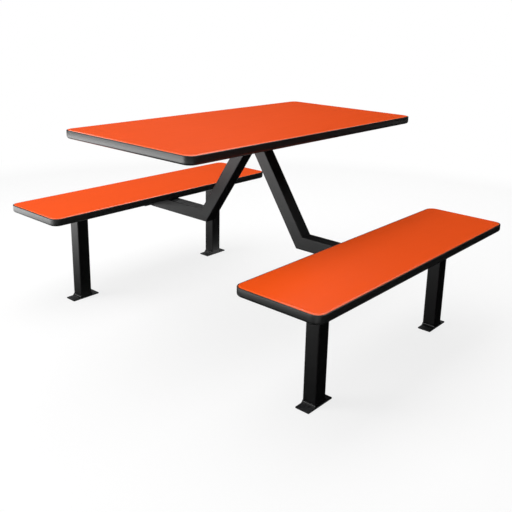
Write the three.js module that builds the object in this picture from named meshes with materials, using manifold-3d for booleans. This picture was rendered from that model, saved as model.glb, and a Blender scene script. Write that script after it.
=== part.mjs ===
// Canteen table with two fixed benches: a laminated table top carried by two cranked arms, one from each bench.
// Millimetres. X runs along the table's length, Y across to the benches, Z up; the origin is on the floor
// under the middle of the table.
import * as THREE from 'three';
import { mergeVertices } from 'three/addons/utils/BufferGeometryUtils.js';
import Module from 'manifold-3d';

// Overall sizes
const TABLE_HEIGHT = 750;
const TABLE_LENGTH = 1220;
const TABLE_WIDTH = 610;
const SEAT_HEIGHT = 400;
const SEAT_LENGTH = 1155;
const SEAT_WIDTH = 305;
const BENCH_OFFSET = 592; // table's centreline to a bench's centreline
const LEG_INSET = 205; // end of a seat to the centre of its leg

// Tops: core board, laminate above, backing sheet below, moulded edge all round
const CORE_THICKNESS = 28;
const LAMINATE_THICKNESS = 1;
const BACKING_THICKNESS = 1;
const CORE_CORNER = 28; // plan radius of the core's corners
const CORE_ARRIS = 5; // rounding of the core's lower edge
const EDGE_THICKNESS = 4; // moulding in front of the core
const EDGE_TOP_ROUND = 1;
const TONGUE_LENGTH = 9;
const TONGUE_THICKNESS = 3;
const GROOVE_SPARE = 1; // groove deeper than the tongue
const EDGE_CLEARANCE = 0.2;

// Square tube of the legs, the arms and the table rail
const TUBE = 50;
const TUBE_WALL = 2;
const TUBE_ROUND = 5;

// Smaller square tube of the bench rails
const BENCH_RAIL = 40;
const BENCH_RAIL_WALL = 2;
const BENCH_RAIL_ROUND = 4;

// Foot plates, as wide as the leg, with a fillet of weld on each ear
const FOOT_THICKNESS = 5;
const FOOT_EAR = 34; // plate beyond the leg on each end side
const FILLET = 9;
const FILLET_LAND = 0.8; // weld's thickness at its upper toe
const FOOT_CLEARANCE = 0.2;

// Cranked arms
const ARM_BEND = 230; // table's centreline to the lower corner of the bend
const ARM_TOP_GAP = 10; // between the two diagonals at the apex
const WELD_GAP = 0.3;
const APEX_THICKNESS = 5;
const APEX_MARGIN = 5; // apex plate beyond the arms

// Bolted joint between an arm and its bench rail
const END_PLATE_THICKNESS = 6;
const END_PLATE_DROP = 2; // end plate below the rail
const BOLT_MARGIN = 15; // side of the arm to a bolt's axis
const BOLT_EDGE = 20; // bolt's axis to the end of the plate
const BOLT_DIAMETER = 10;
const BOLT_HEAD_ACROSS = 16;
const BOLT_HEAD_HEIGHT = 6.4;
const NUT_HEIGHT = 8;
const BOLT_TAIL = 4; // thread past the nut
const BOLT_CLEARANCE = 0.5;
const THREAD_CLEARANCE = 0.2;

// Flat bars under the tops, and the screws through them
const STRAP_THICKNESS = 4;
const STRAP_WIDTH = 40;
const STRAP_MARGIN = 28; // side of the seat to the end of a strap
const STRAP_GAP = 50; // leg to strap
const BAR_THICKNESS = 5;
const BAR_WIDTH = 40;
const BAR_MARGIN = 75; // side of the table to the end of a cross bar
const BAR_INSET = 30; // end of the table rail to a cross bar
const SCREW_INSET = 20; // end of a bar to a screw's axis
const SCREW_DIAMETER = 4.2;
const SCREW_HEAD_DIAMETER = 9;
const SCREW_HEAD_HEIGHT = 3;
const SCREW_BITE = 18; // screw inside the core
const SCREW_TIP = 4;
const SCREW_CLEARANCE = 0.3;
const PILOT_SPARE = 1; // pilot hole deeper than the screw

// Table rail and the plugs in its ends
const RAIL_MARGIN = 280; // end of the table to the end of the rail
const PLUG_CAP = 3;
const PLUG_DEPTH = 14;
const PLUG_CLEARANCE = 0.3;

// Facets
const CORNER_STEPS = 6; // plan corner of a top
const ARC_STEPS = 4; // quarter round of a moulding or a weld
const TUBE_STEPS = 4; // corner of a square tube
const ROUND_SIDES = 12;
const HEX_SIDES = 6;

// Heights and places worked out from the sizes above
const topThickness = BACKING_THICKNESS + CORE_THICKNESS + LAMINATE_THICKNESS;
const seatUnder = SEAT_HEIGHT - topThickness;
const tableUnder = TABLE_HEIGHT - topThickness;
const strapUnder = seatUnder - STRAP_THICKNESS;
const benchRailUnder = strapUnder - BENCH_RAIL;
const railTop = tableUnder - BAR_THICKNESS;
const railUnder = railTop - TUBE;
const apexUnder = railUnder - APEX_THICKNESS;
const armUnder = seatUnder - TUBE;
const legOffset = SEAT_LENGTH / 2 - LEG_INSET;
const strapOffset = legOffset - TUBE / 2 - STRAP_GAP - STRAP_WIDTH / 2;
const strapLength = SEAT_WIDTH - 2 * STRAP_MARGIN;
const barLength = TABLE_WIDTH - 2 * BAR_MARGIN;
const railLength = TABLE_LENGTH - 2 * RAIL_MARGIN;
const barOffset = railLength / 2 - BAR_INSET - BAR_WIDTH / 2;
const boltOffset = TUBE / 2 + BOLT_MARGIN;
const endPlateFace = BENCH_OFFSET - BENCH_RAIL / 2 - END_PLATE_THICKNESS;
const armAngle = Math.atan2(apexUnder - armUnder, ARM_BEND - ARM_TOP_GAP / 2);
const mitre = Math.tan(armAngle / 2);

const QUARTER_TURN = Math.PI / 2;
const ENDS = [
  { name: 'near', sign: -1 },
  { name: 'far', sign: 1 },
];

const LOOKS = {
  laminate: { color: '#f45d2a', roughness: 0.4, metalness: 0 },
  edge: { color: '#1b1d1c', roughness: 0.5, metalness: 0 },
  core: { color: '#b58a5a', roughness: 0.85, metalness: 0 },
  backing: { color: '#3a3a3a', roughness: 0.7, metalness: 0 },
  frame: { color: '#17181a', roughness: 0.45, metalness: 0.2 },
  fixing: { color: '#a9adb1', roughness: 0.35, metalness: 1 },
  plug: { color: '#141414', roughness: 0.6, metalness: 0 },
};

const wasm = await Module();
wasm.setup();

function named(name, look, geometry) {
  const mesh = new THREE.Mesh(geometry, new THREE.MeshStandardMaterial(LOOKS[look]));
  mesh.name = name;
  return mesh;
}

// Joins and cuts

function solidOf(geometry) {
  const bare = geometry.clone();
  bare.deleteAttribute('normal');
  bare.deleteAttribute('uv');
  const merged = mergeVertices(bare);
  return new wasm.Manifold(new wasm.Mesh({
    numProp: 3,
    vertProperties: new Float32Array(merged.attributes.position.array),
    triVerts: new Uint32Array(merged.index.array),
  }));
}

function geometryOf(solid) {
  const { vertProperties, triVerts } = solid.getMesh();
  const geometry = new THREE.BufferGeometry();
  geometry.setAttribute('position', new THREE.BufferAttribute(vertProperties, 3));
  geometry.setIndex(new THREE.BufferAttribute(triVerts, 1));
  return geometry;
}

function drilled(geometry, cutters) {
  let solid = solidOf(geometry);
  for (const cutter of cutters) {
    solid = solid.subtract(solidOf(cutter));
  }
  return geometryOf(solid);
}

// Basic shapes

function rectangle(length, width) {
  return new THREE.Shape([
    new THREE.Vector2(-length / 2, -width / 2),
    new THREE.Vector2(length / 2, -width / 2),
    new THREE.Vector2(length / 2, width / 2),
    new THREE.Vector2(-length / 2, width / 2),
  ]);
}

function roundedSquare(side, radius) {
  const flat = side / 2 - radius;
  const shape = new THREE.Shape();
  shape.absarc(flat, flat, radius, 0, QUARTER_TURN);
  shape.absarc(-flat, flat, radius, QUARTER_TURN, 2 * QUARTER_TURN);
  shape.absarc(-flat, -flat, radius, 2 * QUARTER_TURN, 3 * QUARTER_TURN);
  shape.absarc(flat, -flat, radius, 3 * QUARTER_TURN, 4 * QUARTER_TURN);
  shape.closePath();
  return shape;
}

function roundHole(x, y, radius) {
  const points = Array.from({ length: ROUND_SIDES }, (_, i) => {
    const turn = (i / ROUND_SIDES) * 2 * Math.PI;
    return new THREE.Vector2(x + radius * Math.cos(turn), y + radius * Math.sin(turn));
  });
  return new THREE.Path(points);
}

// An arc of a shape gets two facets for each curve segment.
function extruded(shape, depth) {
  return new THREE.ExtrudeGeometry(shape, { depth, bevelEnabled: false, curveSegments: TUBE_STEPS / 2 });
}

function tubeSection(side, wall, round) {
  const section = roundedSquare(side, round);
  section.holes.push(roundedSquare(side - 2 * wall, Math.max(round - wall, wall / 2)));
  return section;
}

function tubeAlongX(side, wall, round, length) {
  const tube = extruded(tubeSection(side, wall, round), length);
  return tube.rotateY(QUARTER_TURN).translate(-length / 2, 0, 0);
}

// A tube along Z whose ends slope across its section: end = along + slope * y.
function mitredTube(start, end) {
  const tube = extruded(tubeSection(TUBE, TUBE_WALL, TUBE_ROUND), 1);
  const place = tube.attributes.position;
  for (let i = 0; i < place.count; i += 1) {
    const { along, slope } = place.getZ(i) > 0 ? end : start;
    place.setZ(i, along + slope * place.getY(i));
  }
  return tube;
}

// A round rod along Y, centred at the given place.
function rodAlongY(radius, length, x, y, z) {
  return new THREE.CylinderGeometry(radius, radius, length, ROUND_SIDES).translate(x, y, z);
}

function arc(centreOut, centreUp, radius, from, to) {
  return Array.from({ length: ARC_STEPS + 1 }, (_, i) => {
    const turn = THREE.MathUtils.lerp(from, to, i / ARC_STEPS);
    return [centreOut + radius * Math.cos(turn), centreUp + radius * Math.sin(turn)];
  });
}

// Tops

// The core's outline, moved outwards by the given distance, anticlockwise.
function outline(length, width, outwards) {
  const straightX = length / 2 - EDGE_THICKNESS - CORE_CORNER;
  const straightY = width / 2 - EDGE_THICKNESS - CORE_CORNER;
  const radius = CORE_CORNER + outwards;
  const corners = [[1, 1], [-1, 1], [-1, -1], [1, -1]];
  return corners.flatMap(([signX, signY], corner) => (
    Array.from({ length: CORNER_STEPS + 1 }, (_, step) => {
      const turn = (corner + step / CORNER_STEPS) * QUARTER_TURN;
      return new THREE.Vector2(
        signX * straightX + radius * Math.cos(turn),
        signY * straightY + radius * Math.sin(turn),
      );
    })
  ));
}

// Carries a profile of [outwards, up] points round a top's outline. An open profile gets a flat cap at each end.
function carriedRound(length, width, profile, closed) {
  const loops = profile.map(([outwards, up]) => (
    outline(length, width, outwards).map((point) => [point.x, point.y, up])
  ));
  const count = loops[0].length;
  const faces = [];
  const walls = closed ? loops.length : loops.length - 1;
  for (let level = 0; level < walls; level += 1) {
    const low = level * count;
    const high = ((level + 1) % loops.length) * count;
    for (let i = 0; i < count; i += 1) {
      const next = (i + 1) % count;
      faces.push(low + i, low + next, high + next);
      faces.push(low + i, high + next, high + i);
    }
  }
  if (!closed) {
    const top = (loops.length - 1) * count;
    for (let i = 1; i < count - 1; i += 1) {
      faces.push(0, i + 1, i);
      faces.push(top, top + i, top + i + 1);
    }
  }
  const geometry = new THREE.BufferGeometry();
  geometry.setAttribute('position', new THREE.Float32BufferAttribute(loops.flat(2), 3));
  geometry.setIndex(faces);
  return geometry;
}

const edgeRound = CORE_ARRIS + EDGE_THICKNESS;
const tongueMiddle = (edgeRound + topThickness) / 2;

function coreBoard(length, width, screws) {
  const side = -EDGE_CLEARANCE;
  const arris = CORE_ARRIS + EDGE_CLEARANCE;
  const slotHalf = TONGUE_THICKNESS / 2 + EDGE_CLEARANCE;
  const slotEnd = -TONGUE_LENGTH - GROOVE_SPARE;
  const coreTop = topThickness - LAMINATE_THICKNESS;
  const board = carriedRound(length, width, [
    [side - arris, BACKING_THICKNESS],
    ...arc(side - arris, edgeRound + EDGE_CLEARANCE, arris, -QUARTER_TURN, 0),
    [side, tongueMiddle - slotHalf],
    [slotEnd, tongueMiddle - slotHalf],
    [slotEnd, tongueMiddle + slotHalf],
    [side, tongueMiddle + slotHalf],
    [side, coreTop],
  ], false);
  const depth = SCREW_BITE + PILOT_SPARE;
  const radius = SCREW_DIAMETER / 2 + SCREW_CLEARANCE;
  const pilots = screws.map(({ x, y }) => (
    new THREE.CylinderGeometry(radius, radius, 2 * depth, ROUND_SIDES)
      .rotateX(QUARTER_TURN)
      .translate(x, y, BACKING_THICKNESS)
  ));
  return drilled(board, pilots);
}

function edgeMoulding(length, width) {
  const tongueLow = tongueMiddle - TONGUE_THICKNESS / 2;
  const tongueHigh = tongueMiddle + TONGUE_THICKNESS / 2;
  return carriedRound(length, width, [
    ...arc(-CORE_ARRIS, edgeRound, edgeRound, -QUARTER_TURN, 0),
    ...arc(EDGE_THICKNESS - EDGE_TOP_ROUND, topThickness - EDGE_TOP_ROUND, EDGE_TOP_ROUND, 0, QUARTER_TURN),
    [0, topThickness],
    [0, tongueHigh],
    [-TONGUE_LENGTH, tongueHigh],
    [-TONGUE_LENGTH, tongueLow],
    [0, tongueLow],
    ...arc(-CORE_ARRIS, edgeRound, CORE_ARRIS, 0, -QUARTER_TURN),
  ], true);
}

function sheet(length, width, outwards, thickness, holes) {
  const shape = new THREE.Shape(outline(length, width, outwards));
  shape.holes = holes;
  return extruded(shape, thickness);
}

// One top with its underside at z = 0 of its group. names gives the node names of its four pieces.
function makeTop(names, length, width, screws) {
  const top = new THREE.Group();
  const holes = screws.map(({ x, y }) => roundHole(x, y, SCREW_DIAMETER / 2 + SCREW_CLEARANCE));
  const backingEdge = -CORE_ARRIS - 2 * EDGE_CLEARANCE;
  const laminate = sheet(length, width, -EDGE_CLEARANCE, LAMINATE_THICKNESS, []);
  top.add(named(names.core, 'core', coreBoard(length, width, screws)));
  top.add(named(names.laminate, 'laminate', laminate.translate(0, 0, topThickness - LAMINATE_THICKNESS)));
  top.add(named(names.backing, 'backing', sheet(length, width, backingEdge, BACKING_THICKNESS, holes)));
  top.add(named(names.edge, 'edge', edgeMoulding(length, width)));
  return top;
}

// Fixings

// A screw with the underside of its head's bearing face at z = 0, pointing up through a bar into the core.
function woodScrew(barThickness) {
  const shank = SCREW_DIAMETER / 2;
  const head = SCREW_HEAD_DIAMETER / 2;
  const tip = barThickness + BACKING_THICKNESS + SCREW_BITE;
  const profile = [
    new THREE.Vector2(0, -SCREW_HEAD_HEIGHT),
    new THREE.Vector2(head / 2, -SCREW_HEAD_HEIGHT),
    new THREE.Vector2(head, -SCREW_HEAD_HEIGHT / 2),
    new THREE.Vector2(head, 0),
    new THREE.Vector2(shank, 0),
    new THREE.Vector2(shank, tip - SCREW_TIP),
    new THREE.Vector2(0, tip),
  ];
  const screw = new THREE.LatheGeometry(profile, ROUND_SIDES).rotateX(QUARTER_TURN);
  return geometryOf(solidOf(screw));
}

// A hexagonal prism along Y, from y = 0.
function hexagon(across, height) {
  const radius = across / 2 / Math.cos(Math.PI / HEX_SIDES);
  return new THREE.CylinderGeometry(radius, radius, height, HEX_SIDES).translate(0, height / 2, 0);
}

// A bolt along Y with its head's bearing face at y = 0 and its shank towards +Y.
function hexBolt(grip) {
  const reach = grip + NUT_HEIGHT + BOLT_TAIL;
  const head = hexagon(BOLT_HEAD_ACROSS, BOLT_HEAD_HEIGHT).translate(0, -BOLT_HEAD_HEIGHT, 0);
  const sunk = BOLT_HEAD_HEIGHT / 2;
  const shank = rodAlongY(BOLT_DIAMETER / 2, reach + sunk, 0, (reach - sunk) / 2, 0);
  return geometryOf(solidOf(head).add(solidOf(shank)));
}

function hexNut() {
  const bore = rodAlongY(BOLT_DIAMETER / 2 + THREAD_CLEARANCE, 3 * NUT_HEIGHT, 0, NUT_HEIGHT / 2, 0);
  return drilled(hexagon(BOLT_HEAD_ACROSS, NUT_HEIGHT), [bore]);
}

// A flat bar along Y with a screw hole near each end, from z = 0 up.
function flatBar(width, length, thickness, spots) {
  const shape = rectangle(width, length);
  shape.holes = spots.map((y) => roundHole(0, y, SCREW_DIAMETER / 2 + SCREW_CLEARANCE));
  return extruded(shape, thickness);
}

function screwSpots(length) {
  const reach = length / 2 - SCREW_INSET;
  return [-reach, reach];
}

// Bench: seat, rail, legs, feet and arm. Built for the left side; the right one is the same, turned half round.

// A plate with its ears along X, its floor face at z = 0 and a weld fillet against each end side of the leg.
function footPlate() {
  const end = TUBE / 2 + FOOT_EAR;
  const seat = TUBE / 2 + FOOT_CLEARANCE;
  const toe = seat + FILLET_LAND;
  const crown = FOOT_THICKNESS + FILLET;
  const half = [
    [end, 0],
    [end, FOOT_THICKNESS],
    ...arc(toe + FILLET, crown, FILLET, 3 * QUARTER_TURN, 2 * QUARTER_TURN),
    [seat, crown],
    [seat, FOOT_THICKNESS],
  ];
  const mirrored = half.map(([x, z]) => [-x, z]).reverse();
  const points = [...half, ...mirrored].map(([x, z]) => new THREE.Vector2(x, z));
  const plate = extruded(new THREE.Shape(points), TUBE);
  return plate.rotateX(QUARTER_TURN).translate(0, TUBE / 2, 0);
}

function makeLegs(side) {
  const legs = new THREE.Group();
  for (const end of side.ends) {
    const leg = extruded(tubeSection(TUBE, TUBE_WALL, TUBE_ROUND), seatUnder - FOOT_THICKNESS);
    const stand = new THREE.Group();
    stand.position.set(end.sign * legOffset, BENCH_OFFSET, 0);
    stand.add(named(`leg_${side.name}_${end.name}`, 'frame', leg.translate(0, 0, FOOT_THICKNESS)));
    stand.add(named(`foot_plate_${side.name}_${end.name}`, 'frame', footPlate()));
    legs.add(stand);
  }
  return legs;
}

function makeBenchRail(side) {
  const length = 2 * legOffset - TUBE;
  const middle = benchRailUnder + BENCH_RAIL / 2;
  const bores = ENDS.map(({ sign }) => (
    rodAlongY(BOLT_DIAMETER / 2 + BOLT_CLEARANCE, 2 * BENCH_RAIL, sign * boltOffset, 0, 0)
  ));
  const tube = tubeAlongX(BENCH_RAIL, BENCH_RAIL_WALL, BENCH_RAIL_ROUND, length);
  const rail = named(`bench_rail_${side.name}`, 'frame', drilled(tube, bores));
  rail.position.set(0, BENCH_OFFSET, middle);
  return rail;
}

function makeSeatStraps(side) {
  const straps = new THREE.Group();
  const spots = screwSpots(strapLength);
  for (const end of side.ends) {
    const place = new THREE.Group();
    place.position.set(end.sign * strapOffset, BENCH_OFFSET, strapUnder);
    const bar = flatBar(STRAP_WIDTH, strapLength, STRAP_THICKNESS, spots);
    place.add(named(`seat_strap_${side.name}_${end.name}`, 'frame', bar));
    spots.forEach((y) => {
      const row = y < 0 ? 'inner' : 'outer';
      const screw = named(`seat_screw_${side.name}_${end.name}_${row}`, 'fixing', woodScrew(STRAP_THICKNESS));
      screw.position.y = y;
      place.add(screw);
    });
    straps.add(place);
  }
  return straps;
}

function makeSeat(side) {
  const screws = ENDS.flatMap(({ sign }) => (
    screwSpots(strapLength).map((y) => ({ x: sign * strapOffset, y }))
  ));
  const names = {
    core: `seat_core_board_${side.name}`,
    laminate: `seat_laminate_${side.name}`,
    backing: `seat_backing_sheet_${side.name}`,
    edge: `seat_edge_moulding_${side.name}`,
  };
  const seat = makeTop(names, SEAT_LENGTH, SEAT_WIDTH, screws);
  seat.position.set(0, BENCH_OFFSET, seatUnder);
  return seat;
}

// The level tube and the diagonal, mitred at the bend. Each tube's own Z points towards the table.
function makeArm(side) {
  const arm = new THREE.Group();
  const bend = new THREE.Vector3(0, ARM_BEND + (TUBE / 2) * mitre, armUnder + TUBE / 2);
  const gap = WELD_GAP / 2 / Math.cos(armAngle / 2);
  const level = mitredTube({ along: bend.y - endPlateFace, slope: 0 }, { along: -gap, slope: -mitre });
  const rise = (apexUnder - WELD_GAP - bend.z) / Math.sin(armAngle);
  const diagonal = mitredTube(
    { along: gap, slope: mitre },
    { along: rise, slope: -1 / Math.tan(armAngle) },
  );
  const lower = named(`arm_level_tube_${side.name}`, 'frame', level);
  lower.rotation.x = QUARTER_TURN;
  const upper = named(`arm_diagonal_tube_${side.name}`, 'frame', diagonal);
  upper.rotation.x = QUARTER_TURN - armAngle;
  for (const tube of [lower, upper]) {
    tube.position.copy(bend);
    arm.add(tube);
  }
  return arm;
}

function makeArmJoint(side) {
  const joint = new THREE.Group();
  const low = benchRailUnder - END_PLATE_DROP;
  const boltHeight = benchRailUnder + BENCH_RAIL / 2;
  const grip = END_PLATE_THICKNESS + BENCH_RAIL;
  const shape = rectangle(2 * (boltOffset + BOLT_EDGE), seatUnder - low);
  const middle = (seatUnder + low) / 2;
  shape.holes = ENDS.map(({ sign }) => (
    roundHole(sign * boltOffset, boltHeight - middle, BOLT_DIAMETER / 2 + BOLT_CLEARANCE)
  ));
  const plate = extruded(shape, END_PLATE_THICKNESS).rotateX(QUARTER_TURN);
  plate.translate(0, endPlateFace + END_PLATE_THICKNESS, middle);
  joint.add(named(`arm_end_plate_${side.name}`, 'frame', plate));
  for (const end of side.ends) {
    const bolt = named(`arm_bolt_${side.name}_${end.name}`, 'fixing', hexBolt(grip));
    bolt.position.set(end.sign * boltOffset, endPlateFace, boltHeight);
    const nut = named(`arm_nut_${side.name}_${end.name}`, 'fixing', hexNut());
    nut.position.set(end.sign * boltOffset, endPlateFace + grip, boltHeight);
    joint.add(bolt, nut);
  }
  return joint;
}

function makeBench(side) {
  const bench = new THREE.Group();
  bench.add(makeSeat(side), makeBenchRail(side), makeLegs(side), makeSeatStraps(side));
  bench.add(makeArm(side), makeArmJoint(side));
  bench.rotation.z = side.turn;
  return bench;
}

// Table: top, apex plate, rail, plugs and cross bars

function makeTableFrame() {
  const frame = new THREE.Group();
  const reach = ARM_TOP_GAP / 2 + TUBE / Math.sin(armAngle) + APEX_MARGIN;
  const apex = extruded(rectangle(TUBE + 2 * APEX_MARGIN, 2 * reach), APEX_THICKNESS);
  frame.add(named('apex_plate', 'frame', apex.translate(0, 0, apexUnder)));
  const rail = tubeAlongX(TUBE, TUBE_WALL, TUBE_ROUND, railLength);
  frame.add(named('table_rail', 'frame', rail.translate(0, 0, railUnder + TUBE / 2)));
  return frame;
}

function endPlug() {
  const inside = TUBE - 2 * TUBE_WALL - 2 * PLUG_CLEARANCE;
  const cap = extruded(roundedSquare(TUBE, TUBE_ROUND), PLUG_CAP);
  const plug = extruded(roundedSquare(inside, TUBE_ROUND), PLUG_DEPTH + PLUG_CAP / 2);
  const joined = solidOf(cap).add(solidOf(plug.translate(0, 0, -PLUG_DEPTH)));
  return geometryOf(joined).rotateY(QUARTER_TURN);
}

function makePlugs() {
  const plugs = new THREE.Group();
  for (const end of ENDS) {
    const plug = named(`rail_end_plug_${end.name}`, 'plug', endPlug());
    plug.position.set((end.sign * railLength) / 2, 0, railUnder + TUBE / 2);
    plug.rotation.z = end.sign < 0 ? Math.PI : 0;
    plugs.add(plug);
  }
  return plugs;
}

function makeCrossBars() {
  const bars = new THREE.Group();
  const spots = screwSpots(barLength);
  for (const end of ENDS) {
    const place = new THREE.Group();
    place.position.set(end.sign * barOffset, 0, railTop);
    place.add(named(`table_cross_bar_${end.name}`, 'frame', flatBar(BAR_WIDTH, barLength, BAR_THICKNESS, spots)));
    spots.forEach((y) => {
      const row = y < 0 ? 'right' : 'left';
      const screw = named(`table_screw_${end.name}_${row}`, 'fixing', woodScrew(BAR_THICKNESS));
      screw.position.y = y;
      place.add(screw);
    });
    bars.add(place);
  }
  return bars;
}

function makeTableTop() {
  const screws = ENDS.flatMap(({ sign }) => (
    screwSpots(barLength).map((y) => ({ x: sign * barOffset, y }))
  ));
  const names = {
    core: 'table_core_board',
    laminate: 'table_laminate',
    backing: 'table_backing_sheet',
    edge: 'table_edge_moulding',
  };
  const top = makeTop(names, TABLE_LENGTH, TABLE_WIDTH, screws);
  top.position.z = tableUnder;
  return top;
}

// The right bench is turned half round, so its near end is its own +X end.
const LEFT = { name: 'left', turn: 0, ends: ENDS };
const RIGHT = { name: 'right', turn: Math.PI, ends: ENDS.map(({ name, sign }) => ({ name, sign: -sign })) };

const unit = new THREE.Group();
unit.add(makeTableTop(), makeTableFrame(), makePlugs(), makeCrossBars());
unit.add(makeBench(LEFT), makeBench(RIGHT));

export default unit;
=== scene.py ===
"""Looks of a canteen table with two fixed benches: tops, tubes, welds, fixings, finishes and a studio."""

import math

import bmesh
import bpy
from bpy.props import FloatProperty, FloatVectorProperty, IntProperty, PointerProperty
from mathutils import Matrix, Vector


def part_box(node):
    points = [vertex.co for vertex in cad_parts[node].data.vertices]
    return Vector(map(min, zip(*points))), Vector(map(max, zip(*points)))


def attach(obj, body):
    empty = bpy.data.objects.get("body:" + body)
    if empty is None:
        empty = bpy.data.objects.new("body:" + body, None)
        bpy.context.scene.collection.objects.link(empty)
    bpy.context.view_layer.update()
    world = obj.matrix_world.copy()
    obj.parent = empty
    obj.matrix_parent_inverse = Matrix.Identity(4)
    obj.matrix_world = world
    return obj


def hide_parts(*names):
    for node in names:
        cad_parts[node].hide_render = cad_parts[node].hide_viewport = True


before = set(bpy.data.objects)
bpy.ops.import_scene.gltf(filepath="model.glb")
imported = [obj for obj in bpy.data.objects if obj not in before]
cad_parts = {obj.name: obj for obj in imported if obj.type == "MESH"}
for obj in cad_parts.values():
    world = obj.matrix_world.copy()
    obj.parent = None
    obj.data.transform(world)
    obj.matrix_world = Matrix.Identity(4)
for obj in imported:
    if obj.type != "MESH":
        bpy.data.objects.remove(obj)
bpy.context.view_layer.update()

bl_info = {
    "name": "Canteen table looks",
    "version": (1, 0, 0),
    "blender": (4, 5, 0),
    "location": "View3D > Sidebar > Canteen",
    "description": "Dresses a canteen table and its benches in finishes, welds and fixings, in a studio",
    "category": "Object",
}

BODY = "root"
SIDES = ("left", "right")
SIGNS = {"left": 1, "right": -1}
ENDS = ("near", "far")
CORNERS = tuple(f"{side}_{end}" for side in SIDES for end in ENDS)
TOPS = (("table", ""), ("seat", "_left"), ("seat", "_right"))
COAT = "black_powder_coat"
ZINC = "zinc_plating"

Y, Z = 1, 2
ALONG = Vector((1, 0, 0))
ACROSS = Vector((0, 1, 0))
UP = Vector((0, 0, 1))
WHITE = (1, 1, 1, 1)
QUARTER_TURN = math.pi / 2
MILLIMETRE = 0.001
MERGED = 0.01 * MILLIMETRE  # points nearer than this are one point
PHOTO_SIDE = 512  # pixels

# Edges that turn by more than these angles, in degrees, are shaded sharp
CREASE = 35.0
EASED_CREASE = 20.0
FIXING_CREASE = 30.0

# Facets
ROLL_STEPS = 7
LOWER_STEPS = 7
SHOULDER_STEPS = 5
TUBE_STEPS = 6
FOOT_WELD_STEPS = 8
DOME_STEPS = 8
ROUND_SIDES = 24
TURNED_SIDES = 36
DISC_SIDES = 96
HEX_SIDES = 6

# Weld beads
BEAD_STAND = 0.25  # of its width, from a joint's corner to the middle of its bead
BAR_CONTACT = 0.6  # of a tube's corner radius, from the tube's side to the bead under a bar
RIPPLE_LENGTH = 1.9  # of the step between ripples
TOP_STOP = 6 * MILLIMETRE  # a bead beside an arm's top, short of the corners
END_STOP = 5 * MILLIMETRE  # the bead across an arm's top
UNDER_STOP = 4 * MILLIMETRE  # the bead under an end plate


# Sizes and colours that a user would change


def number(label, description, default, **kind):
    return FloatProperty(name=label, description=description, default=default, **kind)


def vector(label, description, default, **kind):
    size = len(default)
    return FloatVectorProperty(name=label, description=description, default=default, size=size, **kind)


def length(label, description, default):
    return number(label, description, default, unit="LENGTH", precision=5)


def colour(label, description, default):
    return vector(label, description, default, subtype="COLOR", min=0, max=1)


class CanteenTops(bpy.types.PropertyGroup):
    """The table top and the two seats."""

    corner_radius: length("Corner radius", "Plan radius of a top's corners, outside the moulding", 0.032)
    corner_steps: IntProperty(name="Corner steps", description="Faces round a plan corner", default=16, min=4)
    edge_thickness: length("Edge thickness", "Moulding in front of the core board", 0.004)
    lower_round: length("Lower round", "Radius under the moulding", 0.009)
    upper_round: length("Upper round", "Radius at the moulding's upper corner", 0.0016)
    roll_radius: length("Roll radius", "Radius that the laminate's rim is rolled to", 0.010)
    roll_angle: number("Roll angle", "How far the rim turns down", math.radians(34), subtype="ANGLE")
    sheet: length("Sheet thickness", "Laminate and backing sheet", 0.001)
    tongue_length: length("Tongue length", "Moulding's tongue inside the core board", 0.009)
    tongue_thickness: length("Tongue thickness", "Thickness of the moulding's tongue", 0.003)
    clearance: length("Clearance", "Between the moulding and the core board", 0.0002)
    laminate: colour("Laminate", "Orange of the tops", (0.900, 0.088, 0.007))
    # Painted highlight: a lighter orange laid on the rolled rims in place of a reflection
    rim_highlight: colour("Painted rim highlight", "Lighter orange painted along the rims as a highlight", (0.95, 0.20, 0.05))
    edge: colour("Edge", "Black of the moulding", (0.0125, 0.0135, 0.013))
    backing: colour("Backing", "Grey of the sheet under the tops", (0.035, 0.035, 0.036))
    board: colour("Board", "Chips of the core board", (0.46, 0.29, 0.14))


class CanteenSteel(bpy.types.PropertyGroup):
    """The welded frame."""

    tube_round: length("Tube corner", "Outer corner radius of the large tube", 0.004)
    rail_round: length("Bench rail corner", "Outer corner radius of the bench rails", 0.004)
    wall: length("Wall", "Wall of the tubes", 0.002)
    foot_thickness: length("Foot thickness", "Foot plate", 0.005)
    weld_land: length("Weld land", "Thickness of a foot's weld at its upper toe", 0.0008)
    foot_clearance: length("Foot clearance", "Between a leg and its weld", 0.0002)
    easing: length("Easing", "Rounding of the edges of plates and bars", 0.0008)
    foot_easing: length("Foot easing", "Rounding of the edges of the foot plates", 0.00056)
    bead_width: length("Bead width", "Width of a weld bead", 0.0048)
    bead_pitch: length("Bead pitch", "Step between the ripples of a weld bead", 0.0022)
    coat: colour("Powder coat", "Black of the frame", (0.0042, 0.0043, 0.0045))


class CanteenFixings(bpy.types.PropertyGroup):
    """Screws, bolts and nuts."""

    screw_head: length("Screw head", "Diameter of a screw's head", 0.009)
    screw_shank: length("Screw shank", "Diameter of a screw's shank", 0.0042)
    screw_pitch: length("Screw pitch", "Step of the screws' thread", 0.0018)
    recess_span: length("Recess span", "Width of the cross recess", 0.0046)
    recess_slot: length("Recess slot", "Width of one slot of the cross recess", 0.0011)
    recess_depth: length("Recess depth", "Depth of the cross recess", 0.0018)
    hexagon: length("Hexagon", "Bolt head and nut across the flats", 0.016)
    thread: length("Thread", "Diameter of the bolts", 0.010)
    thread_pitch: length("Thread pitch", "Step of the bolts' thread", 0.0015)
    screw_turn: number("Screw turn", "Turn from one screw to the next", 0.9, subtype="ANGLE")
    bolt_turn: number("Bolt turn", "Turn from one bolt to the next", 0.35, subtype="ANGLE")
    zinc: colour("Zinc", "Plating of the fixings", (0.52, 0.54, 0.56))


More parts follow.
